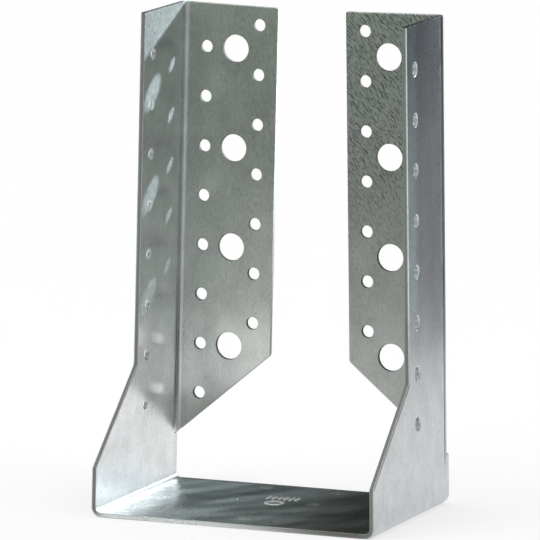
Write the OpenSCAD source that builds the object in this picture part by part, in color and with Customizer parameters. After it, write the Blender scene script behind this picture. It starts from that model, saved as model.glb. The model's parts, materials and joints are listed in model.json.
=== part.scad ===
// Joist hanger: one folded sheet with a seat, two sides and two header flanges turned inwards.
// It stands on its seat at z = 0. The joist comes in from the open front at -Y, and the header lies behind
// the flanges at +Y. The origin is the middle of the footprint.

/* [Joist pocket] */
// Clear width between the two sides, just above the seat
pocket_width = 115; // [100:1:160]
// Clear height of the sides above the seat, measured along a side
pocket_height = 193; // [120:1:260]
// Length of the seat, from its front edge to the header face
seat_depth = 84; // [76:1:120]

/* [Sheet] */
// Thickness of the sheet
sheet = 2; // [1.5:0.1:2.5]
// Inside radius of every fold
fold_radius = 2; // [1:0.25:3]
// How far each side leans in from upright, in degrees
toe_in = 1.1; // [0:0.1:2.5]
// How far the plain back edges stay in front of the header face
back_setback = 1; // [0.5:0.1:2]

/* [Sides] */
// Depth of the upper part of a side, from the header face to its front edge
side_depth = 44; // [40:1:60]
// Height of the front corner, where the edge starts to slope back
nose_height = 19.5; // [12:0.5:28]
// Height at which the sloping edge meets the upper front edge
shoulder_height = 54.5; // [40:0.5:70]

/* [Flanges] */
// Width of a flange, from the outside of its side to its free edge
flange_width = 41.5; // [39:0.5:48]
// Height of the lower end of a flange, at its fold
flange_toe_height = 20.5; // [12:0.5:24]
// Height of the lower corner of a flange, at its free edge
flange_tip_height = 55; // [40:0.5:57]

/* [Nail and bolt holes] */
// Diameter of the nail holes
nail_hole = 5; // [4:0.1:5.5]
// Diameter of the bolt holes
bolt_hole = 11; // [9:0.5:13]
// Height of the lowest row of nail holes
first_row = 37.5; // [34:0.5:40]
// Distance from one row of nail holes to the next
row_pitch = 20; // [16:0.5:24]
// Least distance from a row to the top edge
row_edge = 15; // [13:0.5:18]
// Column of nail holes nearest the fold, from the outside of the side
inner_column = 11.25; // [9:0.25:13]
// Column of bolt holes, from the outside of the side
bolt_column = 23.7; // [22:0.1:25]
// Column of nail holes nearest the free edge, from the outside of the side
outer_column = 33.6; // [33:0.1:35]
// Column of nail holes in each side, from the header face
side_column = 35; // [20:0.5:36]

/* [Seat holes] */
// Diameter of the round hole near the front of the seat
seat_hole = 8; // [6:0.5:12]
// Distance of that hole from the front edge
seat_hole_edge = 12.5; // [10:0.5:16]
// Distance between the left and right nail holes of the seat
seat_nail_spacing = 30; // [24:1:60]
// Distance of the end nail holes from the front edge and from the header face
seat_nail_edge = 9; // [7:0.5:14]
// Distance of the middle nail holes from the header face
seat_nail_middle = 35; // [26:1:40]

/* [Hidden] */

$fn = 48;
// How far a cutting tool reaches past the metal on each side
overcut = 1;

outer_radius = fold_radius + sheet;
outer_width = pocket_width + 2 * sheet;
outer_height = pocket_height + sheet;
// The header face and the front edge, with the origin halfway between them
header_y = seat_depth / 2;
front_y = -seat_depth / 2;
back_edge_y = header_y - back_setback;
// Half the width of the flat part of the seat, which is where the folds begin
seat_flat = outer_width / 2 - outer_radius;
seat_nail_rows = [
    front_y + seat_nail_edge,
    header_y - seat_nail_middle,
    header_y - seat_nail_edge
];

// An upright side has its own frame, with its origin on the axis of the seat's fold at the plain back edge
side_header = back_setback;
side_front = side_header - seat_depth;
side_shoulder = side_header - side_depth;
side_fold = side_header - outer_radius;
side_top = outer_height - outer_radius;
shoulder_z = shoulder_height - outer_radius;
nose_z = nose_height - outer_radius;
nose_slope = (shoulder_z - nose_z) / (side_shoulder - side_front);
toe_z = flange_toe_height - outer_radius;
tip_z = flange_tip_height - outer_radius;
free_x = outer_radius - flange_width;

// The lean is one turn whose cosine has six decimals and a small turn for the rest of it. A cosine with more
// decimals would be rounded, and the side would no longer be as thick as its fold.
main_lean = acos(ceil(cos(toe_in) * 1e6) / 1e6);
rest_of_lean = toe_in - main_lean;

// How many rows of nail holes fit between the lowest one and the top edge
row_count = floor((outer_height - first_row - row_edge) / row_pitch) + 1;

// Height of a row in the frame of a side, where half rows lie between whole ones
function row_z(row) = first_row + row_pitch * row - outer_radius;

// A fold of the sheet about the z axis, that turns by an angle from the +X direction
module fold(length, angle) {
    rotate_extrude(angle = angle)
        translate([fold_radius, 0])
            square([sheet, length]);
}

// The flat of a side, from the seat's fold up to the top edge and back to the flange's fold.
// Its front reaches past the seat's front edge, where both are cut off together.
module side_plate() {
    translate([fold_radius, 0, 0])
        rotate([90, 0, 90])
            linear_extrude(sheet)
                polygon([
                    [side_front - overcut, 0],
                    [0, 0],
                    [0, toe_z],
                    [side_fold, toe_z],
                    [side_fold, side_top],
                    [side_shoulder, side_top],
                    [side_shoulder, shoulder_z],
                    [side_front - overcut, nose_z - overcut * nose_slope]
                ]);
}

// The fold at the back edge of a side and the flat of its flange, with the flange's sloping lower edge
module folded_flange() {
    difference() {
        translate([0, 0, toe_z]) {
            translate([0, side_fold, 0])
                fold(side_top - toe_z, 90);
            translate([free_x, side_header - sheet, 0])
                cube([-free_x, sheet, side_top - toe_z]);
        }
        translate([0, side_header + overcut, 0])
            rotate([90, 0, 0])
                linear_extrude(outer_radius + 2 * overcut)
                    polygon([
                        [fold_radius, toe_z],
                        [free_x, tip_z],
                        [free_x - overcut, tip_z],
                        [free_x - overcut, toe_z - overcut],
                        [fold_radius, toe_z - overcut]
                    ]);
    }
}

// A hole through a flange, at a column counted from the outside of the side
module flange_hole(column, row, diameter) {
    translate([outer_radius - column, side_header + overcut, row_z(row)])
        rotate([90, 0, 0])
            cylinder(d = diameter, h = sheet + 2 * overcut);
}

// A nail hole through a side
module side_hole(row) {
    translate([fold_radius - overcut, side_header - side_column, row_z(row)])
        rotate([0, 90, 0])
            cylinder(d = nail_hole, h = sheet + 2 * overcut);
}

// The right side with its flange and all their holes, before it leans in
module upright_side() {
    difference() {
        union() {
            side_plate();
            folded_flange();
        }
        for (row = [0 : row_count - 1]) {
            side_hole(row);
            flange_hole(inner_column, row, nail_hole);
        }
        for (row = [1 : row_count - 1])
            flange_hole(outer_column, row + 0.5, nail_hole);
        for (row = [1 : 2 : row_count - 1])
            flange_hole(bolt_column, row, bolt_hole);
    }
}

// The right side, leaning in about the axis of its fold to the seat, with that fold
module leaning_side() {
    translate([seat_flat, back_edge_y, outer_radius]) {
        difference() {
            rotate([0, -main_lean, 0])
                rotate([0, -rest_of_lean, 0])
                    upright_side();
            translate([-outer_width / 2, side_front - 2 * overcut, -outer_radius])
                cube([outer_width, 2 * overcut, outer_height]);
        }
        rotate([90, 0, 0])
            rotate([0, 0, -90])
                fold(-side_front, 90 + toe_in);
    }
}

// The flat of the seat with its nail holes and its larger hole
module seat() {
    difference() {
        translate([-seat_flat, front_y, 0])
            cube([2 * seat_flat, back_edge_y - front_y, sheet]);
        for (side = [-1, 1], y = seat_nail_rows)
            translate([side * seat_nail_spacing / 2, y, -overcut])
                cylinder(d = nail_hole, h = sheet + 2 * overcut);
        translate([0, front_y + seat_hole_edge, -overcut])
            cylinder(d = seat_hole, h = sheet + 2 * overcut);
    }
}

module hanger() {
    color("lightslategray") {
        seat();
        leaning_side();
        mirror([1, 0, 0])
            leaning_side();
    }
}

hanger();
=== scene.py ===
"""The looks of a joist hanger: one folded, punched and galvanised steel sheet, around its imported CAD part.

The sheet is drawn flat, as the blank that it is pressed from, with its outline and its punched holes. The
blank is thickened, its cut edges are rounded, and it is folded into the shape of the CAD node it replaces.
"""
import json
import math

import bpy
import numpy as np
from mathutils import Euler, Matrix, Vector, geometry


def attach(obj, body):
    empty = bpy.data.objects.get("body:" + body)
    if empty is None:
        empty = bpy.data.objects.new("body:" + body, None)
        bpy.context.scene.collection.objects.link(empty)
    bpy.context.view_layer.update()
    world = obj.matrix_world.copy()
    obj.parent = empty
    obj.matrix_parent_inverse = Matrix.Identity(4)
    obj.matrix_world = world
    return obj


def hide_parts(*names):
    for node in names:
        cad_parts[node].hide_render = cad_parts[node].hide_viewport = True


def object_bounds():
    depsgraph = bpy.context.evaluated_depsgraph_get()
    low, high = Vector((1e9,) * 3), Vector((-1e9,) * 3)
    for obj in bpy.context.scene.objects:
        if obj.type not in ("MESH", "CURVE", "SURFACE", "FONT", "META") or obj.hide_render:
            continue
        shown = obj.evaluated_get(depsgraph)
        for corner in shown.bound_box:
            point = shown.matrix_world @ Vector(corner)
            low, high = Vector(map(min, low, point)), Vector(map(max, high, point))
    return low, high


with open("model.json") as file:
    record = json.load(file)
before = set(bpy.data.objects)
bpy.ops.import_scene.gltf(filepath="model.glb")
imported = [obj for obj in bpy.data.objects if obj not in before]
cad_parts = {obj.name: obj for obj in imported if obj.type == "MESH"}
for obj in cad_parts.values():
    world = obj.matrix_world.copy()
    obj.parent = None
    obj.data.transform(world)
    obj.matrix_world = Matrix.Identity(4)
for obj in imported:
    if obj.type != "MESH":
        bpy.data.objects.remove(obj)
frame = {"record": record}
cad_low, cad_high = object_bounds()
MOUNTS = {mount["name"]: mount for mount in frame["record"]["mounts"]}

# Camera: the place, turn and lens of the photograph, in metres, degrees and millimetres
CAMERA_PLACE = (1.0749, -2.7038, 0.5605)
CAMERA_TURN = (80.927, -0.3582, 21.7606)
CAMERA_LENS = 500.26
CAMERA_SENSOR = 36
CAMERA_REACH = 20

# Sheet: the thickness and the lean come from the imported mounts, and the rest are the sizes of the CAD part
SIDE_AXIS = MOUNTS["joist_face_right"]["axis"]
SHEET = MOUNTS["seat_top"]["pos_m"][2] - MOUNTS["seat_underside"]["pos_m"][2]
LEAN = math.atan2(-SIDE_AXIS[2], -SIDE_AXIS[0])
FOLD_RADIUS = 0.002
BACK_SETBACK = 0.001
SIDE_DEPTH = 0.044
SIDE_COLUMN = 0.035
NOSE_HEIGHT = 0.0195
SHOULDER_HEIGHT = 0.0545
FLANGE_WIDTH = 0.0415
FLANGE_TOE_HEIGHT = 0.0205
FLANGE_TIP_HEIGHT = 0.055
SEAT_HOLE_EDGE = 0.0125
SEAT_HOLE_RADIUS = 0.004

# Places that follow from those sizes, with heights counted from the axis of a side's fold to the seat
OUTER_RADIUS = FOLD_RADIUS + SHEET
MIDDLE_RADIUS = FOLD_RADIUS + SHEET / 2
HEADER_Y = MOUNTS["header_face_right"]["pos_m"][1]
FRONT_Y = cad_low.y
BACK_EDGE_Y = HEADER_Y - BACK_SETBACK
FOLD_Y = HEADER_Y - OUTER_RADIUS
SHOULDER_Y = HEADER_Y - SIDE_DEPTH
SIDE_HOLE_Y = HEADER_Y - SIDE_COLUMN
SEAT_HOLE_Y = FRONT_Y + SEAT_HOLE_EDGE
SEAT_FLAT = cad_high.x - OUTER_RADIUS
SIDE_TOP = (cad_high.z - OUTER_RADIUS * (1 + math.sin(LEAN))) / math.cos(LEAN)
NOSE = NOSE_HEIGHT - OUTER_RADIUS
SHOULDER = SHOULDER_HEIGHT - OUTER_RADIUS
FLANGE_TOE = FLANGE_TOE_HEIGHT - OUTER_RADIUS
FLANGE_TIP = FLANGE_TIP_HEIGHT - OUTER_RADIUS

# Blank: the lengths that the folds take up, measured in the middle of the sheet
SEAT_FOLD_TURN = math.pi / 2 + LEAN
SEAT_FOLD = SEAT_FOLD_TURN * MIDDLE_RADIUS
FLANGE_FOLD = math.pi / 2 * MIDDLE_RADIUS
SIDE_START = SEAT_FLAT + SEAT_FOLD
FLANGE_START = FOLD_Y + FLANGE_FOLD
FREE_EDGE = FLANGE_START + FLANGE_WIDTH - OUTER_RADIUS
# The slit that parts a flange's lower end from the back edge below it
SLIT = 0.0003
# Lower edge of a flange: how much of its climb the fold takes, and in what share of the fold
TOE_CLIMB = 0.05
TOE_TURN = 0.55

# Marks on the seat: where they are, how many bars, how far apart, and the length and width of a bar
MARK_PLACE = (-0.0005, 0.014)
MARK_COUNT = 6
MARK_PITCH = 0.0024
MARK_BAR = (0.0055, 0.0014)
MARK_BAR_POINTS = 24
# The ring in front of the bars: how far in front, its radius and its width
MARK_RING_DROP = 0.010
MARK_RING = (0.0034, 0.0014)
MARK_RING_POINTS = 48
# The rounded edge of a mark, as heights above the seat and shares of half its width
MARK_PROFILE = [(-0.0001, 1.0), (0.0001, 1.0), (0.00022, 0.85), (0.0003, 0.5)]

# Mesh: how finely the sheet is divided
EDGE_STEPS = 3
FOLD_STEPS = 16
FLAT_STEP = 0.003
OUTLINE_STEP = 0.002
HOLE_STEP = 0.0004
HOLE_LEAST_STEPS = 32
CORNER_RADIUS = 0.0009
CORNER_STEPS = 6
# Points of the flat parts keep clear of the outline, and of the holes, by these distances
OUTLINE_CLEARANCE = 0.00112
HOLE_CLEARANCE = 0.0009
# The blank is triangulated in millimetres, with this tolerance
BLANK_SCALE = 1000
BLANK_TOLERANCE = 1e-5
# Shares of a side of the outline that count as its ends, and the share of a rim that counts as hole
END_SHARE = 0.001
RIM_SHARE = 0.9

# Rims: the radius that an edge is rounded with, at the outer and at the inner face
FRONT_EDGE = 0.0007
FRONT_INNER_EDGE = 0.0003
OTHER_EDGE = 0.0002
INNER_EDGE = 0.00015
FLANGE_TOP_EDGE = 0.0004
HOLE_EDGES = {"flange": 0.0004, "side": 0.0007, "seat": 0.0004}
# How dull the cut metal is, at the outer and at the inner face: a punch leaves the far half of a hole torn
OUTLINE_CUT = 1.0
SIDE_TOP_CUT = 1.5
HOLE_CUTS = {"flange": (1.5, 1.5), "side": (0.3, 0.5), "seat": (1.0, 1.25)}
# How late in its rounding an edge turns dull: the front edges stay bright until they are nearly round
FRONT_TURN = 4.0
OTHER_TURN = 0.5
SIDE_TOP_TURN = 0.0
# How near to the top, and how far round the fold, a point still belongs to the top edge of a side
TOP_REACH = 0.0003
SIDE_TOP_END = 0.001

# Patterns of the zinc: length and width of a cell in metres, detail, turn in degrees, and contrast
PATTERNS = {
    "grain": ((0.0018, 0.0009), 1.5, 0, (0.2, 0.8)),
    "speckle": ((0.0060, 0.0030), 2, 0, (0.2, 0.8)),
    "cloud": ((0.014, 0.010), 3, 0, (0.3, 0.7)),
    "wander": ((0.0034, 0.0013), 1, 38, (0.0, 1.0)),
    "gaps": ((0.0026, 0.0007), 0, 38, (0.40, 0.66)),
    "wave": ((0.034, 0.024), 0.5, 0, (0.0, 1.0)),
    "swirl": ((0.040, 0.024), 1, 60, (0.0, 1.0)),
    "stain": ((0.036, 0.020), 2, 60, (0.42, 0.6)),
}
# The rolling marks: how far apart, their turn in degrees, how far they wander, and the contrast of a line
STREAK_PITCH = 0.0010
STREAK_TURN = 38
STREAK_WANDER = 9.0
STREAK_CONTRAST = (-0.4, 0.6)

# Zones of the sheet: the two places on the blank between which each begins or ends
SEAT_END = (SEAT_FLAT - 0.004, SEAT_FLAT + 0.004)
# The seat passes from a painted reflection on its left to painted shade on its right between these places
SEAT_SHADE = (-0.005, 0.045)
UPRIGHT_START = (SIDE_START + 0.010, SIDE_START + 0.016)
FLANGE_BEGIN = (FLANGE_START - 0.002, FLANGE_START + 0.001)
STREAKS_BEGIN = (FLANGE_START - 0.002, FLANGE_START + 0.003)
STREAKS_FOOT = (SIDE_START + 0.08, SIDE_START + 0.17)
# Painted light on the inner face of the left side near its foot, and painted shade on the inner face of the
# flanges near their foot
SIDE_FOOT_TOP = (-SIDE_START - 0.055, -SIDE_START - 0.03)
SIDE_FOOT_END = (-SEAT_FLAT - 0.002, -SEAT_FLAT)
FLANGE_FOOT_TOP = (-SIDE_START - 0.050, -SIDE_START - 0.026)
# Painted light along the strip of the sides' outer face beside their front edges
FRONT_STRIP_END = (SHOULDER_Y + 0.006, SHOULDER_Y + 0.013)
FRONT_STRIP_FOOT = (SIDE_START + 0.06, SIDE_START + 0.09)
# Painted light on the seat's front cut edge towards its left: where it ends and how deep it reaches
BRIGHT_CUT_END = (-0.02, 0.045)
BRIGHT_CUT_DEPTH = (FRONT_Y + 0.001, FRONT_Y + 0.004)
FLANGE_FOLD_BEGIN = (FOLD_Y - 0.001, FOLD_Y + 0.001)
FLANGE_FOLD_END = (FLANGE_START - 0.001, FLANGE_START + 0.001)
SEAT_FOLD_BEGIN = (SEAT_FLAT - 0.001, SEAT_FLAT + 0.001)
SEAT_FOLD_END = (SIDE_START, SIDE_START + 0.002)
SLEEK_TOP = (-SIDE_START - 0.078, -SIDE_START - 0.058)
SLEEK_FOOT = (-SIDE_START - 0.036, -SIDE_START - 0.028)
# The lines that the folding die leaves beside a fold: where they are, how wide, and how broken up
SCRAPED_Y = FOLD_Y - 0.0014
SCRAPED_WIDTH = (0.0002, 0.0011)
SCRAPED_BREAKS = (0.0, 0.35)
RUBBED_Y = FOLD_Y - 0.0031
RUBBED_WIDTH = (0.0002, 0.0010)
RUBBED_BREAKS = (0.0, 0.9)

# Colours of the zinc, and how far each pattern lightens it
ZINC_DARK = (0.32, 0.33, 0.325, 1)
ZINC_LIGHT = (0.95, 0.96, 0.955, 1)
ZINC_STAIN = (0.30, 0.33, 0.33, 1)
BASE_TONE = 0.26
TONES = {"grain": 0.20, "speckle": 0.08, "cloud": 0.12}
STAIN_SHARE = 0.4
# The rolling marks darken the zinc where they are below this level, by this many times the difference
STREAK_LEVEL = 0.72
STREAK_DEPTH = 1.30
# Tints of the zones: a hue for the sides and the flanges, a painted reflection on the seat's left, painted
# shade on the seat's right, painted light on the foot of the left side, painted shade on the right flange
# and the foot of the left flange, and painted light along the front strip of the sides
SIDE_TINT = (0.975, 0.99, 1.02, 1)
FLANGE_TINT = (0.99, 1.02, 0.97, 1)
SEAT_LEFT_PAINTED_REFLECTION = (1.08, 1.13, 1.14, 1)
SEAT_RIGHT_PAINTED_SHADE = (0.46, 0.47, 0.43, 1)
SIDE_FOOT_PAINTED_LIGHT = (1.22, 1.22, 1.24, 1)
FLANGE_FOOT_PAINTED_SHADE = (0.74, 0.76, 0.73, 1)
FRONT_STRIP_PAINTED_LIGHT = (1.30, 1.42, 1.40, 1)
# Colours of worn and of cut metal, with the share of each or the cut at which it shows. The bright cut
# colour is painted light on the seat's front cut edge
SCRAPED_COLOUR = (0.06, 0.06, 0.07, 1)
SCRAPED_SHARE = 0.8
RUBBED_COLOUR = (0.86, 0.88, 0.90, 1)
RUBBED_SHARE = 0.7
DULL_CUT_COLOUR = (0.24, 0.23, 0.215, 1)
PAINTED_LIGHT_CUT_COLOUR = (0.96, 0.99, 0.98, 1)
TORN_COLOUR = (0.05, 0.05, 0.047, 1)
CUT_SHARE = 0.8
CUT_RANGE = (0.5, 1.0)
TORN_RANGE = (1.0, 1.5)
# How much of the painted light the seat's cut edges still keep behind its front edge
BRIGHT_CUT_BEHIND = 0.3

# Gloss: the roughness, what the grain and each zone add to it, and how much less metallic a cut is
BASE_ROUGHNESS = 0.27
GRAIN_ROUGHNESS = 0.05
ZONE_ROUGHNESS = {"seat": -0.01, "flange_fold": 0.14, "seat_fold": 0.15, "sleek": -0.11, "rubbed": 0.06,
                  "torn": 0.4}
CUT_METAL = -0.15
BRIGHT_CUT_METAL = -0.5
# Bumps: the heights of the waves, of the seat's swirls and of the rolling marks
WAVE_HEIGHT = 0.00022
SWIRL_HEIGHT = 0.0010
STREAK_HEIGHT = 0.00003

# Raised marks: the size of their grain, its two colours, and their gloss
MARK_GRAIN = 0.0006
MARK_DARK = (0.55, 0.57, 0.57, 1)
MARK_LIGHT = (0.92, 0.93, 0.93, 1)
MARK_METAL = 0.4
MARK_ROUGHNESS = 0.5

# Floor: its size, its grey under the lamps, and the glow that lifts it to white where it is seen
FLOOR_SIZE = 8.0
FLOOR_COLOUR = (0.45, 0.45, 0.45, 1)
FLOOR_ROUGHNESS = 0.9
FLOOR_GLOW = 0.58
WHITE = (1, 1, 1, 1)

# Surround: a wall that only reflections see, in metres, with its colours by where they are
WALL_RADIUS = 0.45
WALL_HEIGHT = 1.0
WALL_SIDES = 96
BACK_LEFT_FOOT = (0.52, 0.62, 0.63, 1)
BACK_MIDDLE_FOOT = (0.05, 0.05, 0.045, 1)
BACK_LEFT = (0.035, 0.038, 0.035, 1)
BACK_RIGHT_FOOT = (0.25, 0.255, 0.265, 1)
BACK_RIGHT_MIDDLE = (0.05, 0.05, 0.06, 1)
BACK_RIGHT_TOP = (0.14, 0.15, 0.15, 1)
FRONT_FOOT = (0.24, 0.25, 0.24, 1)
FRONT_MIDDLE = (0.10, 0.12, 0.10, 1)
FRONT_TOP = (0.46, 0.52, 0.47, 1)
RIGHT_FRONT = (0.46, 0.50, 0.45, 1)
RIGHT_BACK = (0.95, 0.98, 0.95, 1)
# The ranges of x, y or height in which one colour of the wall passes into the next
LEFT_TO_MIDDLE_X = (-0.20, -0.11)
BACK_LEFT_Z = (0.065, 0.10)
BACK_RIGHT_LOW_Z = (0.08, 0.14)
BACK_RIGHT_HIGH_Z = (0.15, 0.22)
BACK_LEFT_TO_RIGHT_X = (-0.03, 0.11)
FRONT_LOW_Z = (0.0, 0.05)
FRONT_HIGH_Z = (0.07, 0.25)
FRONT_TO_BACK_Y = (-0.2, 0.1)
RIGHT_X = (0.08, 0.20)
RIGHT_Y = (0.02, 0.16)
RIGHT_FRONT_TO_BACK_Y = (-0.20, -0.10)

# Light: the world and its white, the wide lamp overhead, and the small lamp behind with its two beams
WORLD_LIGHT = 0.75
WORLD_WHITE = 1.0
OVERHEAD_PLACE = (-0.8, -0.9, 2.4)
OVERHEAD_POWER = 0.6
OVERHEAD_WIDTH = 70
BEHIND_DIRECTION = (0.514, 0.782, 0.355)
BEHIND_DISTANCE = 1.6
BEHIND_RADIUS = 0.045
BEAM_WIDTH = 5.4
BEAM_BLEND = 0.5
HIGH_AIM = (-SEAT_FLAT, 0.015, 0.155)
HIGH_POWER = 750
HIGH_COLOUR = (0.82, 0.95, 1.0)
LOW_AIM = (-SEAT_FLAT, -0.01, 0.03)
LOW_POWER = 70
LOW_COLOUR = (0.94, 0.97, 1.0)


def make_camera():
    data = bpy.data.cameras.new("camera")
    data.lens = CAMERA_LENS
    data.sensor_width = CAMERA_SENSOR
    data.clip_end = CAMERA_REACH
    camera = bpy.data.objects.new("camera", data)
    camera.location = CAMERA_PLACE
    camera.rotation_euler = Euler([math.radians(angle) for angle in CAMERA_TURN], "XYZ")
    bpy.context.scene.collection.objects.link(camera)
    bpy.context.scene.camera = camera


def make_piece(name, vertices, faces, material):
    """A smooth mesh object in the scene."""
    mesh = bpy.data.meshes.new(name)
    mesh.from_pydata(vertices, [], faces)
    mesh.polygons.foreach_set("use_smooth", [True] * len(mesh.polygons))
    mesh.materials.append(material)
    piece = bpy.data.objects.new(name, mesh)
    bpy.context.scene.collection.objects.link(piece)
    return piece


# The flat blank. A point of it is (girth, y): girth runs from the middle of the seat up each side, negative
# on the left, and y runs back along the seat and the sides and then on round the fold into the flange.

def right_outline():
    """The corners of the right half of the blank, from the front of the seat round to the back of it."""
    return [
        (SIDE_START + NOSE, FRONT_Y),
        (SIDE_START + SHOULDER, SHOULDER_Y),
        (SIDE_START + SIDE_TOP, SHOULDER_Y),
        (SIDE_START + SIDE_TOP, FREE_EDGE),
        (SIDE_START + FLANGE_TIP, FREE_EDGE),
        (SIDE_START + FLANGE_TOE + (FLANGE_TIP - FLANGE_TOE) * TOE_CLIMB, FLANGE_START),
        (SIDE_START + FLANGE_TOE, FLANGE_START - FLANGE_FOLD * TOE_TURN),
        (SIDE_START + FLANGE_TOE, FOLD_Y),
        (SIDE_START + FLANGE_TOE - SLIT, FOLD_Y),
        (SIDE_START + FLANGE_TOE - SLIT, BACK_EDGE_Y),
    ]


def rounded(corners):
    """The closed outline with each corner turned into a short arc, or a tiny one in the slit."""
    result = []
    count = len(corners)
    for index, corner in enumerate(corners):
        point = np.array(corner)
        before = np.array(corners[index - 1]) - point
        after = np.array(corners[(index + 1) % count]) - point
        reach = min(CORNER_RADIUS, np.linalg.norm(before) / 3, np.linalg.norm(after) / 3)
        start = point + before / np.linalg.norm(before) * reach
        end = point + after / np.linalg.norm(after) * reach
        for share in np.linspace(0, 1, CORNER_STEPS + 1):
            rest = 1 - share
            result.append(rest ** 2 * start + 2 * share * rest * point + share ** 2 * end)
    return result


def fold_lines(start, length):
    """The lines across the blank at which a fold is divided."""
    return start + length * np.linspace(0, 1, FOLD_STEPS + 1)


GIRTH_FOLDS = np.concatenate([-fold_lines(SEAT_FLAT, SEAT_FOLD), fold_lines(SEAT_FLAT, SEAT_FOLD)])
Y_FOLDS = fold_lines(FOLD_Y, FLANGE_FOLD)


def divided(outline):
    """The outline with points added where it crosses a fold line, and nowhere further apart than a step."""
    result = []
    for index, start in enumerate(outline):
        end = outline[(index + 1) % len(outline)]
        shares = {0.0}
        for axis, lines in ((0, GIRTH_FOLDS), (1, Y_FOLDS)):
            run = end[axis] - start[axis]
            if abs(run) > 1e-9:
                crossings = (lines - start[axis]) / run
                shares.update(float(share) for share in crossings if END_SHARE < share < 1 - END_SHARE)
        stops = sorted(shares) + [1.0]
        for low, high in zip(stops, stops[1:]):
            pieces = max(1, math.ceil(np.linalg.norm(end - start) * (high - low) / OUTLINE_STEP))
            for piece in range(pieces):
                result.append(start + (end - start) * (low + (high - low) * piece / pieces))
    return np.array(result)


def blank_outline():
    right = right_outline()
    left = [(-girth, y) for girth, y in reversed(right)]
    return divided(rounded(right + left))


def metres(millimetres):
    return millimetres / 1000


def header_holes():
    """The punched holes of both flanges and both sides, as (girth, y, radius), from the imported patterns.
    A side has a hole on each row of the inner column of its flange."""
    holes = []
    for name, mount in MOUNTS.items():
        if name.startswith("header_") and mount["kind"] == "bolt_pattern":
            radius = metres(mount["dims"]["hole_r_mm"])
            out = metres(mount["dims"]["spacing_x_mm"]) / 2 - SEAT_FLAT
            up = mount["pos_m"][2] - OUTER_RADIUS
            across = out * math.cos(LEAN) + up * math.sin(LEAN)
            along = up * math.cos(LEAN) - out * math.sin(LEAN)
            holes.append((SIDE_START + along, FLANGE_START - across, radius))
            if "inner" in name:
                holes.append((SIDE_START + along, SIDE_HOLE_Y, radius))
    return holes + [(-girth, y, radius) for girth, y, radius in holes]


def seat_holes():
    """The punched holes of the seat, as (girth, y, radius)."""
    holes = [(0.0, SEAT_HOLE_Y, SEAT_HOLE_RADIUS)]
    for name in ("seat_nails_ends", "seat_nails_middle"):
        mount = MOUNTS[name]
        dims = mount["dims"]
        girth = metres(dims["spacing_x_mm"]) / 2
        reach = metres(dims.get("spacing_y_mm", 0)) / 2
        for y in {reach, -reach}:
            for side in (-1, 1):
                holes.append((side * girth, mount["pos_m"][1] + y, metres(dims["hole_r_mm"])))
    return holes


def hole_zone(hole):
    """The part of the sheet that a hole is in."""
    girth, y, _ = hole
    if abs(girth) < SEAT_FLAT:
        return "seat"
    return "side" if y < FOLD_Y else "flange"


def hole_loop(hole):
    """A hole's rim, drawn clockwise, so that the metal is on the same side of it as of the outline."""
    girth, y, radius = hole
    count = max(HOLE_LEAST_STEPS, 4 * math.ceil(2 * math.pi * radius / HOLE_STEP / 4))
    angle = -np.linspace(0, 2 * math.pi, count, endpoint=False)
    return np.stack([girth + radius * np.cos(angle), y + radius * np.sin(angle)], 1)


def outward(loop):
    """How far each point of a loop moves when its sides move outwards by one, as a mitre does."""
    run = np.roll(loop, -1, 0) - loop
    normal = np.stack([run[:, 1], -run[:, 0]], 1) / np.linalg.norm(run, axis=1)[:, None]
    total = normal + np.roll(normal, 1, 0)
    return total * 2 / (total ** 2).sum(1)[:, None]


def inside(points, loop):
    """True for each point that lies inside the loop, by counting the sides that a ray crosses."""
    crossed = np.zeros(len(points), bool)
    for (x1, y1), (x2, y2) in zip(loop, np.roll(loop, -1, 0)):
        if y1 != y2:
            spans = (points[:, 1] < y1) != (points[:, 1] < y2)
            crossed ^= spans & (points[:, 0] < (x2 - x1) * (points[:, 1] - y1) / (y2 - y1) + x1)
    return crossed


def in_metal(points, outline, holes):
    """True for each point that lies inside the outline and outside the holes."""
    kept = inside(points, outline)
    for girth, y, radius in holes:
        kept &= np.hypot(points[:, 0] - girth, points[:, 1] - y) > radius
    return kept


def lattice(outline, holes):
    """Points inside the blank, in rows that follow the folds, and clear of the outline and the holes."""
    def steps(start, end):
        return np.linspace(start, end, max(2, round((end - start) / FLAT_STEP) + 1))
    up = np.concatenate([steps(0, SEAT_FLAT)[1:-1], fold_lines(SEAT_FLAT, SEAT_FOLD),
                         steps(SIDE_START, SIDE_START + SIDE_TOP)[1:-1]])
    girths = np.concatenate([-up[::-1], [0], up])
    ys = np.concatenate([steps(FRONT_Y, FOLD_Y)[1:-1], Y_FOLDS, steps(FLANGE_START, FREE_EDGE)[1:-1]])
    points = np.stack(np.meshgrid(girths, ys), -1).reshape(-1, 2)
    widened = [(girth, y, radius + HOLE_CLEARANCE) for girth, y, radius in holes]
    points = points[in_metal(points, outline, widened)]
    near = np.full(len(points), np.inf)
    for start, end in zip(outline, np.roll(outline, -1, 0)):
        run = end - start
        share = np.clip((points - start) @ run / (run @ run), 0, 1)
        near = np.minimum(near, np.linalg.norm(points - start - share[:, None] * run, axis=1))
    return points[near > OUTLINE_CLEARANCE]


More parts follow.
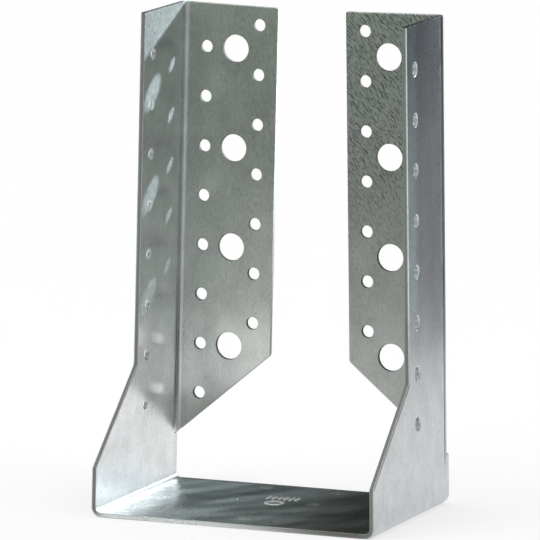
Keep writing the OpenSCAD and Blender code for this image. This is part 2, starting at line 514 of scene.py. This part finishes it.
def folded(points, depth):
    """Where points of the blank lie in the folded sheet, at a depth below its outer face, and three
    directions there: the outer face's normal, the way of growing girth and the way of growing y."""
    side = np.where(points[:, 0] < 0, -1.0, 1.0)
    girth, y = np.abs(points[:, 0]), points[:, 1]
    radius = OUTER_RADIUS - depth
    turn = np.clip((girth - SEAT_FLAT) / SEAT_FOLD, 0, 1) * SEAT_FOLD_TURN
    up = np.clip(girth - SIDE_START, 0, None)
    on_flange = (up > FLANGE_TOE - SLIT / 2) & (y > FOLD_Y)
    bend = np.where(on_flange, np.clip((y - FOLD_Y) / FLANGE_FOLD, 0, 1), 0) * math.pi / 2
    past = np.where(on_flange, np.clip(y - FLANGE_START, 0, None), 0)
    out = np.stack([np.sin(turn), np.zeros_like(turn), -np.cos(turn)], 1)
    rise = np.stack([np.cos(turn), np.zeros_like(turn), np.sin(turn)], 1)
    back = np.array([0.0, 1.0, 0.0])
    cosine, sine = np.cos(bend)[:, None], np.sin(bend)[:, None]
    normal = out * cosine + back * sine
    along = back * cosine - out * sine
    centre = np.stack([np.minimum(girth, SEAT_FLAT), np.where(on_flange, FOLD_Y, y),
                       np.full_like(turn, OUTER_RADIUS)], 1)
    place = centre + rise * up[:, None] + normal * radius[:, None] - out * past[:, None]
    flip = np.stack([side, np.ones_like(side), np.ones_like(side)], 1)
    return place * flip, normal * flip, rise * flip * side[:, None], along * flip


def triangulated(loops, points, holes):
    """The triangles that fill the metal between the loops and pass through the points."""
    corners = np.concatenate(loops + [points])
    edges, start = [], 0
    for loop in loops:
        edges += [(start + i, start + (i + 1) % len(loop)) for i in range(len(loop))]
        start += len(loop)
    flat = [Vector(corner) for corner in corners * BLANK_SCALE]
    placed, _, faces, origin, _, _ = geometry.delaunay_2d_cdt(flat, edges, [], 0, BLANK_TOLERANCE, True)
    if len(placed) != len(corners):
        raise ValueError("the blank's outline crosses itself")
    source = np.array([ids[0] for ids in origin])
    triangles = source[np.array(faces)]
    centre = corners[triangles].mean(1)
    return triangles[in_metal(centre, loops[0], holes)]


def rim_values(loops, front, other, hole_values):
    """A value for each point of the rims: for the front edges, for the other edges and for each hole."""
    outline = np.interp(loops[0][:, 1], (SHOULDER_Y, SHOULDER_Y + CORNER_RADIUS), (front, other))
    rims = [np.full(len(loop), value) for loop, value in zip(loops[1:], hole_values)]
    return np.concatenate([outline] + rims)


def rim_shapes(loops, holes):
    """For each point of the rims: its rounding at the outer and at the inner face, how late in that it
    turns dull, and how dull its cut is at the outer and at the inner face."""
    outline = loops[0]
    zones = [hole_zone(hole) for hole in holes]
    at_top = np.abs(outline[:, 0]) > SIDE_START + SIDE_TOP - TOP_REACH
    side_top = np.flatnonzero(at_top & (outline[:, 1] < FOLD_Y + SIDE_TOP_END))
    flange_top = np.flatnonzero(at_top & (outline[:, 1] > FLANGE_START))
    wide = rim_values(loops, FRONT_EDGE, OTHER_EDGE, [HOLE_EDGES[zone] for zone in zones])
    narrow = rim_values(loops, FRONT_INNER_EDGE, INNER_EDGE, [INNER_EDGE] * len(holes))
    turn = rim_values(loops, FRONT_TURN, OTHER_TURN, [OTHER_TURN] * len(holes))
    cuts = [rim_values(loops, OUTLINE_CUT, OUTLINE_CUT, [HOLE_CUTS[zone][face] for zone in zones])
            for face in (0, 1)]
    wide[flange_top] = FLANGE_TOP_EDGE
    narrow[flange_top] = FLANGE_TOP_EDGE
    turn[flange_top] = FRONT_TURN
    turn[side_top] = SIDE_TOP_TURN
    for cut in cuts:
        cut[side_top] = SIDE_TOP_CUT
    return wide, narrow, turn, cuts


def rim_rings(wide, narrow):
    """The rings of points that round the rims, from the outer face over the cut edge to the inner face.
    A ring is its inset, its depth, its shares of the face's and of the edge's normal, and its face."""
    def rounding(radius):
        angles = np.linspace(0, math.pi / 2, EDGE_STEPS + 1)
        return [(radius * (1 - math.sin(a)), radius * (1 - math.cos(a)), math.cos(a), math.sin(a))
                for a in angles]
    outer = [(*ring, 0) for ring in rounding(wide)]
    inner = [(inset, SHEET - drop, -face_share, edge_share, 1)
             for inset, drop, face_share, edge_share in reversed(rounding(narrow))]
    return outer + inner + [(wide, np.full(len(wide), SHEET), -1.0, 0.0, 1)]


def sheet_faces(loops, triangles, ring_count, grid_count):
    """The four-sided faces round all the rims, and the triangles of the outer and of the inner face."""
    count = sum(len(loop) for loop in loops)
    quads = []
    start = 0
    for loop in loops:
        here = start + np.arange(len(loop))
        there = start + (np.arange(len(loop)) + 1) % len(loop)
        for ring in range(ring_count - 1):
            low, high = ring * count, (ring + 1) * count
            quads.append(np.stack([here + low, there + low, there + high, here + high], 1))
        start += len(loop)
    last_ring = (ring_count - 1) * count
    on_rim = triangles < count
    outer = np.where(on_rim, triangles, triangles + last_ring)
    inner = np.where(on_rim, triangles + last_ring, triangles + last_ring + grid_count)
    return np.concatenate(quads).tolist() + outer[:, ::-1].tolist() + inner.tolist()


def layer(place, normal, flat, inner, cut):
    """One layer of the mesh: places, normals, places on the blank with the face, and cuts."""
    return place, normal, np.column_stack([flat, np.full(len(flat), inner)]), np.full(len(flat), cut)


def sheet_mesh():
    """The whole folded sheet as one closed mesh: its places, true normals, blank, cuts and faces."""
    holes = header_holes() + seat_holes()
    loops = [blank_outline()] + [hole_loop(hole) for hole in holes]
    rim = np.concatenate(loops)
    move = np.concatenate([outward(loop) for loop in loops])
    wide, narrow, turn, cuts = rim_shapes(loops, holes)
    grid = lattice(loops[0], holes)
    inset_loops = np.split(rim - move * wide[:, None], np.cumsum([len(loop) for loop in loops])[:-1])
    rimmed = [(*hole[:2], hole[2] + HOLE_EDGES[hole_zone(hole)] * RIM_SHARE) for hole in holes]
    triangles = triangulated(inset_loops, grid, rimmed)

    rings = rim_rings(wide, narrow)
    layers = []
    for number, (inset, drop, face_share, edge_share, face) in enumerate(rings):
        flat = rim - move * inset[:, None]
        place, normal, rise, along = folded(flat, drop)
        edge = rise * move[:, :1] + along * move[:, 1:]
        edge /= np.linalg.norm(edge, axis=1)[:, None]
        on_a_face = number in (0, len(rings) - 1)
        cut = 0.0 if on_a_face else edge_share ** turn * cuts[face]
        layers.append(layer(place, normal * face_share + edge * edge_share, flat, face, cut))
    for face, sign in ((0, 1), (1, -1)):
        place, normal, _, _ = folded(grid, np.full(len(grid), face * SHEET))
        layers.append(layer(place, normal * sign, grid, face, 0.0))
    faces = sheet_faces(loops, triangles, len(rings), len(grid))
    return *(np.concatenate(column) for column in zip(*layers)), faces


def make_sheet():
    places, normals, blanks, cuts, faces = sheet_mesh()
    piece = make_piece("galvanised_hanger", places.tolist(), faces, galvanised_steel())
    mesh = piece.data
    mesh.update()
    mesh.attributes.new("blank", "FLOAT_VECTOR", "POINT").data.foreach_set("vector", blanks.ravel())
    mesh.attributes.new("cut", "FLOAT", "POINT").data.foreach_set("value", cuts)
    mesh.normals_split_custom_set_from_vertices(normals.tolist())
    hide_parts("hanger")
    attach(piece, "root")
    return piece


def circle(count):
    """Points evenly spaced round a circle with a radius of one."""
    angle = np.linspace(0, 2 * math.pi, count, endpoint=False)
    return np.stack([np.cos(angle), np.sin(angle)], 1)


def mark_bar(centre, length, width):
    """A low raised bar with rounded ends and a rounded top, as rings of points from its foot up."""
    round_end = circle(MARK_BAR_POINTS)
    reach = np.where(round_end[:, 1] > 0, 1, -1) * (length - width) / 2
    shift = np.column_stack([np.zeros(MARK_BAR_POINTS), reach])
    rings = []
    for height, share in MARK_PROFILE:
        flat = round_end * width / 2 * share + shift + centre
        rings.append(np.column_stack([flat, np.full(MARK_BAR_POINTS, SHEET + height)]))
    return rings


def mark_ring(centre, radius, width):
    """A low raised ring, as rings of points from its outer foot over its top to its inner foot."""
    rings = []
    for height, share in MARK_PROFILE + [(height, -share) for height, share in reversed(MARK_PROFILE)]:
        flat = circle(MARK_RING_POINTS) * (radius + width / 2 * share) + centre
        rings.append(np.column_stack([flat, np.full(MARK_RING_POINTS, SHEET + height)]))
    return rings


def add_rings(rings, vertices, faces, capped):
    """Joins rings of points to a closed skin, capped at both ends or closed from the last to the first."""
    count, start = len(rings[0]), len(vertices)
    for ring in rings:
        vertices.extend(ring.tolist())
    pairs = list(zip(range(len(rings) - 1), range(1, len(rings))))
    if capped:
        faces.append([start + i for i in reversed(range(count))])
        faces.append([start + (len(rings) - 1) * count + i for i in range(count)])
    else:
        pairs.append((len(rings) - 1, 0))
    for low, high in pairs:
        for i in range(count):
            j = (i + 1) % count
            faces.append([start + low * count + i, start + low * count + j,
                          start + high * count + j, start + high * count + i])


def make_marks():
    """Plain raised bars on the seat, with a small ring in front of them."""
    vertices, faces = [], []
    x, y = MARK_PLACE
    for index in range(MARK_COUNT):
        place = np.array([x + (index - (MARK_COUNT - 1) / 2) * MARK_PITCH, y])
        add_rings(mark_bar(place, *MARK_BAR), vertices, faces, True)
    add_rings(mark_ring(np.array([x, y - MARK_RING_DROP]), *MARK_RING), vertices, faces, False)
    piece = make_piece("size_marks", vertices, faces, stamped_steel())
    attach(piece, "root")


# Where a Mix node for colours has its share and its two colours, and its result
COLOUR_MIX_INPUTS = (0, 6, 7)
COLOUR_MIX_OUTPUT = 2


class Nodes:
    """A short way to write a material's nodes: each call makes one node, sets it and links it."""

    def __init__(self, tree):
        self.tree = tree
        tree.nodes.clear()

    def add(self, kind, settings=(), **inputs):
        node = self.tree.nodes.new("ShaderNode" + kind)
        for name, value in dict(settings).items():
            setattr(node, name, value)
        for name, value in inputs.items():
            self.put(node, name.replace("_", " "), value)
        return node

    def put(self, node, name, value):
        """Links a socket to an input, or sets the input. An input is named, or counted from 0."""
        socket = node.inputs[name]
        if isinstance(value, bpy.types.NodeSocket):
            self.tree.links.new(value, socket)
        else:
            socket.default_value = value

    def math(self, operation, *values):
        node = self.add("Math", {"operation": operation})
        for index, value in enumerate(values):
            self.put(node, index, value)
        return node.outputs[0]

    def times(self, *values):
        result = values[0]
        for value in values[1:]:
            result = self.math("MULTIPLY", result, value)
        return result

    def plus(self, base, value, share):
        """The base with a share of the value added."""
        return self.math("MULTIPLY_ADD", value, share, base)

    def ramp(self, value, span, start=0.0, end=1.0):
        """A smooth step from the start to the end, while the value passes through the span."""
        low, high = span
        return self.add("MapRange", {"interpolation_type": "SMOOTHSTEP"}, Value=value, From_Min=low,
                        From_Max=high, To_Min=start, To_Max=end).outputs["Result"]

    def fade(self, value, span):
        return self.ramp(value, span, 1.0, 0.0)

    def cells(self, coordinates, size, turn):
        """Coordinates counted in cells of a given size, turned in the sheet's plane."""
        return self.add("Mapping", {"vector_type": "TEXTURE"}, Vector=coordinates, Scale=size,
                        Rotation=(0, 0, math.radians(turn))).outputs[0]

    def noise(self, coordinates, size, detail, turn=0.0, contrast=(0.3, 0.7)):
        """Noise from 0 to 1 whose cells have a given length, width and depth."""
        node = self.add("TexNoise", {"noise_dimensions": "3D"}, Vector=self.cells(coordinates, size, turn),
                        Scale=1.0, Detail=detail)
        return self.ramp(node.outputs[0], contrast)

    def mix(self, share, first, second):
        node = self.add("Mix", {"data_type": "RGBA"})
        for index, value in zip(COLOUR_MIX_INPUTS, (share, first, second)):
            self.put(node, index, value)
        return node.outputs[COLOUR_MIX_OUTPUT]

    def tinted(self, colour, tint):
        node = self.add("Mix", {"data_type": "RGBA", "blend_type": "MULTIPLY"})
        for index, value in zip(COLOUR_MIX_INPUTS, (1.0, colour, tint)):
            self.put(node, index, value)
        return node.outputs[COLOUR_MIX_OUTPUT]

    def blend(self, value, span, first, second):
        """The first colour below the span and the second above it."""
        return self.mix(self.ramp(value, span), first, second)


def new_material(name):
    material = bpy.data.materials.new(name)
    material.use_nodes = True
    return material, Nodes(material.node_tree)


def rolling_marks(nodes, blank, wander, gaps):
    """Slanting lines that wander and are broken by gaps, as 0 on a line and 1 beside it."""
    lines = nodes.cells(blank, (STREAK_PITCH, STREAK_PITCH, 1), STREAK_TURN)
    across = nodes.add("SeparateXYZ", Vector=lines).outputs[1]
    phase = nodes.math("MULTIPLY_ADD", across, 2 * math.pi, nodes.math("MULTIPLY", wander, STREAK_WANDER))
    line = nodes.fade(nodes.math("SINE", phase), STREAK_CONTRAST)
    return nodes.math("MAXIMUM", line, gaps)


def zinc_patterns(nodes, blank):
    """Every pattern of the zinc. The outer and the inner face of the sheet have cells of their own."""
    patterns = {name: nodes.noise(blank, (*cell, 1), detail, turn, contrast)
                for name, (cell, detail, turn, contrast) in PATTERNS.items()}
    patterns["streaks"] = rolling_marks(nodes, blank, patterns["wander"], patterns["gaps"])
    return patterns


def die_line(nodes, across, place, width):
    """A thin line along the fold."""
    return nodes.fade(nodes.math("ABSOLUTE", nodes.math("SUBTRACT", across, place)), width)


def sheet_zones(nodes, blank, cut, speckle):
    """The zones of the sheet, each from 0 to 1. Left and right are as seen from the front."""
    place = nodes.add("SeparateXYZ", Vector=blank)
    girth, across, inner = place.outputs[0], place.outputs[1], place.outputs[2]
    from_middle = nodes.math("ABSOLUTE", girth)
    seat = nodes.fade(from_middle, SEAT_END)
    upright = nodes.times(nodes.ramp(from_middle, UPRIGHT_START), nodes.math("SUBTRACT", 1.0, inner))
    flange = nodes.ramp(across, FLANGE_BEGIN)
    # The seat's front cut edge towards its left: painted light, fading behind the front edge
    painted_light_cut = nodes.times(seat, nodes.fade(girth, BRIGHT_CUT_END),
                             nodes.ramp(across, BRIGHT_CUT_DEPTH, 1.0, BRIGHT_CUT_BEHIND))
    return {
        "seat": seat,
        # The seat's right, for painted shade there and a painted reflection on its left
        "seat_painted_reflection_to_shade": nodes.ramp(girth, SEAT_SHADE),
        "flange": flange,
        "streaked": nodes.times(nodes.ramp(across, STREAKS_BEGIN), inner, nodes.ramp(girth, STREAKS_FOOT)),
        # The foot of the left side's inner face: painted light
        "side_foot_painted_light": nodes.times(inner, nodes.ramp(girth, SIDE_FOOT_TOP), nodes.fade(girth, SIDE_FOOT_END)),
        # The inner face of the whole right flange and of the left flange near its foot: painted shade
        "flange_foot_painted_shade": nodes.times(flange, inner, nodes.ramp(girth, FLANGE_FOOT_TOP)),
        # The strip along the front edges of the sides' outer face: painted light
        "front_strip_painted_light": nodes.times(nodes.fade(across, FRONT_STRIP_END), upright,
                                   nodes.ramp(from_middle, FRONT_STRIP_FOOT)),
        "scraped": nodes.times(die_line(nodes, across, SCRAPED_Y, SCRAPED_WIDTH), upright,
                               nodes.ramp(speckle, SCRAPED_BREAKS)),
        "rubbed": nodes.times(die_line(nodes, across, RUBBED_Y, RUBBED_WIDTH), upright,
                              nodes.ramp(speckle, RUBBED_BREAKS)),
        "flange_fold": nodes.times(inner, nodes.ramp(across, FLANGE_FOLD_BEGIN),
                                   nodes.fade(across, FLANGE_FOLD_END)),
        "seat_fold": nodes.times(inner, nodes.ramp(from_middle, SEAT_FOLD_BEGIN),
                                 nodes.fade(from_middle, SEAT_FOLD_END)),
        "sleek": nodes.times(inner, nodes.ramp(girth, SLEEK_TOP), nodes.fade(girth, SLEEK_FOOT)),
        "painted_light_cut": painted_light_cut,
        "torn": nodes.times(cut, nodes.math("SUBTRACT", 1.0, painted_light_cut)),
    }


def zinc_colour(nodes, zones, patterns):
    """The colour of the zinc, with its grain and clouds, the rolling marks and the stains of the seat."""
    tone = BASE_TONE
    for name, share in TONES.items():
        tone = nodes.plus(tone, patterns[name], share)
    lines = nodes.math("SUBTRACT", STREAK_LEVEL, patterns["streaks"])
    tone = nodes.math("SUBTRACT", tone, nodes.times(zones["streaked"], lines, STREAK_DEPTH))
    colour = nodes.mix(tone, ZINC_DARK, ZINC_LIGHT)
    return nodes.mix(nodes.times(patterns["stain"], zones["seat"], STAIN_SHARE), colour, ZINC_STAIN)


def zone_tint(nodes, zones):
    """The tint of each zone of the sheet: a hue for the sides and the flanges, a painted reflection on the
    seat's left, painted shade on the seat's right, painted light on the left side's foot, and painted shade
    on the right flange and on the foot of the left flange.
    """
    tint = nodes.mix(zones["flange"], SIDE_TINT, FLANGE_TINT)
    # The seat: a painted reflection on its left and painted shade on its right
    seat_painted_light_tint = nodes.mix(zones["seat_painted_reflection_to_shade"], SEAT_LEFT_PAINTED_REFLECTION, SEAT_RIGHT_PAINTED_SHADE)
    tint = nodes.mix(zones["seat"], tint, seat_painted_light_tint)
    # The foot of the left side: painted light
    tint = nodes.mix(zones["side_foot_painted_light"], tint, SIDE_FOOT_PAINTED_LIGHT)
    # The right flange and the foot of the left flange: painted shade
    return nodes.mix(zones["flange_foot_painted_shade"], tint, FLANGE_FOOT_PAINTED_SHADE)


def worn_and_painted_light_colour(nodes, zones, cut, colour):
    """The colour with the painted light strip along the front edges of the sides, the marks of the die, the
    cut edges, and the painted light on the seat's front cut edge.
    """
    # The front strip: painted light
    colour = nodes.mix(zones["front_strip_painted_light"], colour, nodes.tinted(colour, FRONT_STRIP_PAINTED_LIGHT))
    colour = nodes.mix(nodes.times(zones["scraped"], SCRAPED_SHARE), colour, SCRAPED_COLOUR)
    colour = nodes.mix(nodes.times(zones["rubbed"], RUBBED_SHARE), colour, RUBBED_COLOUR)
    # The bright cut of the seat's front edge: painted light
    cut_colour = nodes.mix(zones["painted_light_cut"], DULL_CUT_COLOUR, PAINTED_LIGHT_CUT_COLOUR)
    colour = nodes.mix(nodes.ramp(cut, CUT_RANGE, 0.0, CUT_SHARE), colour, cut_colour)
    return nodes.mix(nodes.ramp(cut, TORN_RANGE), colour, TORN_COLOUR)


def sheet_roughness(nodes, zones, grain):
    """The roughness of the sheet: its own, and what the grain and the zones add to it."""
    roughness = nodes.plus(BASE_ROUGHNESS, grain, GRAIN_ROUGHNESS)
    for name, more in ZONE_ROUGHNESS.items():
        roughness = nodes.plus(roughness, zones[name], more)
    return roughness


def sheet_bumps(nodes, zones, patterns):
    """The shader's normal, from bumps that lie one over the other."""
    normal = {}
    for height, distance in ((patterns["wave"], WAVE_HEIGHT),
                             (nodes.times(patterns["swirl"], zones["seat"]), SWIRL_HEIGHT),
                             (nodes.times(patterns["streaks"], zones["streaked"]), STREAK_HEIGHT)):
        bump = nodes.add("Bump", Height=height, Distance=distance, Strength=1.0, **normal)
        normal = {"Normal": bump.outputs[0]}
    return normal


def galvanised_steel():
    material, nodes = new_material("galvanised_steel")
    blank = nodes.add("Attribute", {"attribute_name": "blank"}).outputs["Vector"]
    cut = nodes.add("Attribute", {"attribute_name": "cut"}).outputs["Fac"]
    patterns = zinc_patterns(nodes, blank)
    zones = sheet_zones(nodes, blank, cut, patterns["speckle"])
    colour = nodes.tinted(zinc_colour(nodes, zones, patterns), zone_tint(nodes, zones))
    less_metal = nodes.plus(CUT_METAL, zones["painted_light_cut"], BRIGHT_CUT_METAL)
    shader = nodes.add("BsdfPrincipled", Base_Color=worn_and_painted_light_colour(nodes, zones, cut, colour),
                       Metallic=nodes.plus(1.0, cut, less_metal),
                       Roughness=sheet_roughness(nodes, zones, patterns["grain"]),
                       **sheet_bumps(nodes, zones, patterns))
    nodes.add("OutputMaterial", Surface=shader.outputs[0])
    return material


def stamped_steel():
    material, nodes = new_material("stamped_steel")
    place = nodes.add("TexCoord").outputs["Object"]
    grain = nodes.noise(place, (MARK_GRAIN, MARK_GRAIN, MARK_GRAIN), 1)
    shader = nodes.add("BsdfPrincipled", Base_Color=nodes.mix(grain, MARK_DARK, MARK_LIGHT),
                       Metallic=MARK_METAL, Roughness=MARK_ROUGHNESS)
    nodes.add("OutputMaterial", Surface=shader.outputs[0])
    return material


def background_rays(nodes):
    """One for rays that see the background: from the camera, off metal or through glass."""
    rays = nodes.add("LightPath")
    seen = nodes.math("MAXIMUM", rays.outputs["Is Camera Ray"], rays.outputs["Is Glossy Ray"])
    return nodes.math("MAXIMUM", seen, rays.outputs["Is Transmission Ray"])


def white_floor():
    material, nodes = new_material("white_floor")
    glow = nodes.math("MULTIPLY", background_rays(nodes), FLOOR_GLOW)
    shader = nodes.add("BsdfPrincipled", Base_Color=FLOOR_COLOUR, Roughness=FLOOR_ROUGHNESS,
                       Specular_IOR_Level=0.0, Emission_Color=WHITE, Emission_Strength=glow)
    nodes.add("OutputMaterial", Surface=shader.outputs[0])
    return material


def make_floor():
    """A white floor that keeps the object's shadow and looks as white as the background."""
    bpy.ops.mesh.primitive_plane_add(size=FLOOR_SIZE, location=(0, 0, 0))
    floor = bpy.context.object
    floor.name = "floor"
    floor.data.materials.append(white_floor())


def grey_surround():
    """The wall's glow: dark behind and in front, lighter at its foot and its top, bright on the right."""
    material, nodes = new_material("grey_surround")
    place = nodes.add("SeparateXYZ", Vector=nodes.add("NewGeometry").outputs["Position"])
    x, y, z = place.outputs[0], place.outputs[1], place.outputs[2]
    back_foot = nodes.blend(x, LEFT_TO_MIDDLE_X, BACK_LEFT_FOOT, BACK_MIDDLE_FOOT)
    back_left = nodes.blend(z, BACK_LEFT_Z, back_foot, BACK_LEFT)
    back_right = nodes.blend(z, BACK_RIGHT_LOW_Z, BACK_RIGHT_FOOT, BACK_RIGHT_MIDDLE)
    back_right = nodes.blend(z, BACK_RIGHT_HIGH_Z, back_right, BACK_RIGHT_TOP)
    back = nodes.blend(x, BACK_LEFT_TO_RIGHT_X, back_left, back_right)
    front = nodes.blend(z, FRONT_HIGH_Z, nodes.blend(z, FRONT_LOW_Z, FRONT_FOOT, FRONT_MIDDLE), FRONT_TOP)
    colour = nodes.blend(y, FRONT_TO_BACK_Y, front, back)
    right = nodes.times(nodes.ramp(x, RIGHT_X), nodes.fade(y, RIGHT_Y))
    colour = nodes.mix(right, colour, nodes.blend(y, RIGHT_FRONT_TO_BACK_Y, RIGHT_FRONT, RIGHT_BACK))
    glow = nodes.add("Emission", Strength=1.0, Color=colour)
    nodes.add("OutputMaterial", Surface=glow.outputs[0])
    return material


def make_surround():
    """A wall round the object that nothing sees but the reflections in it."""
    bpy.ops.mesh.primitive_cylinder_add(vertices=WALL_SIDES, radius=WALL_RADIUS, depth=WALL_HEIGHT,
                                        end_fill_type="NOTHING", location=(0, 0, WALL_HEIGHT / 2))
    wall = bpy.context.object
    wall.name = "surround"
    wall.data.materials.append(grey_surround())
    wall.visible_camera = False
    wall.visible_diffuse = False
    wall.visible_shadow = False
    wall.visible_transmission = False


def make_world():
    world = bpy.data.worlds.new("studio")
    world.use_nodes = True
    nodes = Nodes(world.node_tree)
    strength = nodes.ramp(background_rays(nodes), (0, 1), WORLD_LIGHT, WORLD_WHITE)
    background = nodes.add("Background", Color=WHITE, Strength=strength)
    nodes.add("OutputWorld", Surface=background.outputs[0])
    bpy.context.scene.world = world


def add_lamp(data, place, aim):
    lamp = bpy.data.objects.new(data.name, data)
    lamp.location = place
    lamp.rotation_euler = (Vector(aim) - Vector(place)).to_track_quat("-Z", "Y").to_euler()
    bpy.context.scene.collection.objects.link(lamp)
    return lamp


def make_overhead_light():
    overhead = bpy.data.lights.new("overhead", "SUN")
    overhead.energy = OVERHEAD_POWER
    overhead.angle = math.radians(OVERHEAD_WIDTH)
    add_lamp(overhead, OVERHEAD_PLACE, (0, 0, 0))


def make_back_light(target):
    """A small lamp behind the sheet, with two beams on the left side. It shines through the left flange's
    holes, over its top and under it, and on nothing but the sheet."""
    lit = bpy.data.collections.new("lit_from_behind")
    bpy.context.scene.collection.children.link(lit)
    lit.objects.link(target)
    place = Vector(HIGH_AIM) + Vector(BEHIND_DIRECTION) * BEHIND_DISTANCE
    for name, aim, power, colour in (("behind_high", HIGH_AIM, HIGH_POWER, HIGH_COLOUR),
                                     ("behind_low", LOW_AIM, LOW_POWER, LOW_COLOUR)):
        beam = bpy.data.lights.new(name, "SPOT")
        beam.energy = power
        beam.shadow_soft_size = BEHIND_RADIUS
        beam.spot_size = math.radians(BEAM_WIDTH)
        beam.spot_blend = BEAM_BLEND
        beam.color = colour
        add_lamp(beam, place, aim).light_linking.receiver_collection = lit


make_camera()
hanger = make_sheet()
make_marks()
make_floor()
make_surround()
make_world()
make_overhead_light()
make_back_light(hanger)

bpy.context.scene.view_settings.view_transform = "Standard"
